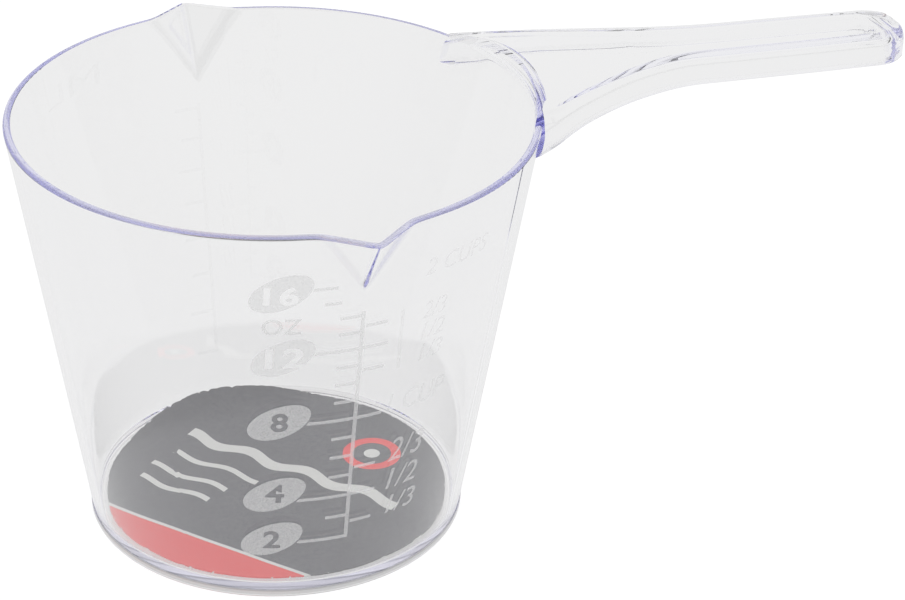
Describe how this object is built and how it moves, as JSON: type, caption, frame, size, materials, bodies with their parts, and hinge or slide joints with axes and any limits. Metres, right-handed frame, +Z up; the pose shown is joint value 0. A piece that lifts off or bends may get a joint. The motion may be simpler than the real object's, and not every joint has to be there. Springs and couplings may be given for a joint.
{
  "type": "measuring cup",
  "caption": "Clear plastic measuring cup with a tapered bowl, two pouring spouts, a channel handle and frosted volume marks.",
  "frame": {"origin": "on the table under the object, midway between the far side of the rim and the tip of the handle", "axes": "+X from the bowl towards the tip of the handle, +Z up, the front spout and the ounce scale towards -Y"},
  "size_m": [0.1988, 0.1208, 0.0946],
  "materials": {
    "clear_plastic": "glossy clear moulded polystyrene with a faint violet tint",
    "printed_paper": "coated paper disc, black print with a red segment",
    "frosted_marks": "frosted translucent"
  },
  "bodies": {
    "root": {"bowl": "clear_plastic", "handle": "clear_plastic", "base_label": "printed_paper", "front_scale": "frosted_marks", "ounce_line_15": "frosted_marks", "ounce_line_16": "frosted_marks", "ounce_badge_2": "frosted_marks", "ounce_badge_4": "frosted_marks", "ounce_badge_8": "frosted_marks", "ounce_badge_12": "frosted_marks", "ounce_badge_16": "frosted_marks", "cup_tick_1_thirds": "frosted_marks", "cup_tick_2_thirds": "frosted_marks", "cup_tick_4_thirds": "frosted_marks", "cup_tick_5_thirds": "frosted_marks", "back_scale": "frosted_marks"}
  },
  "joints": []
}
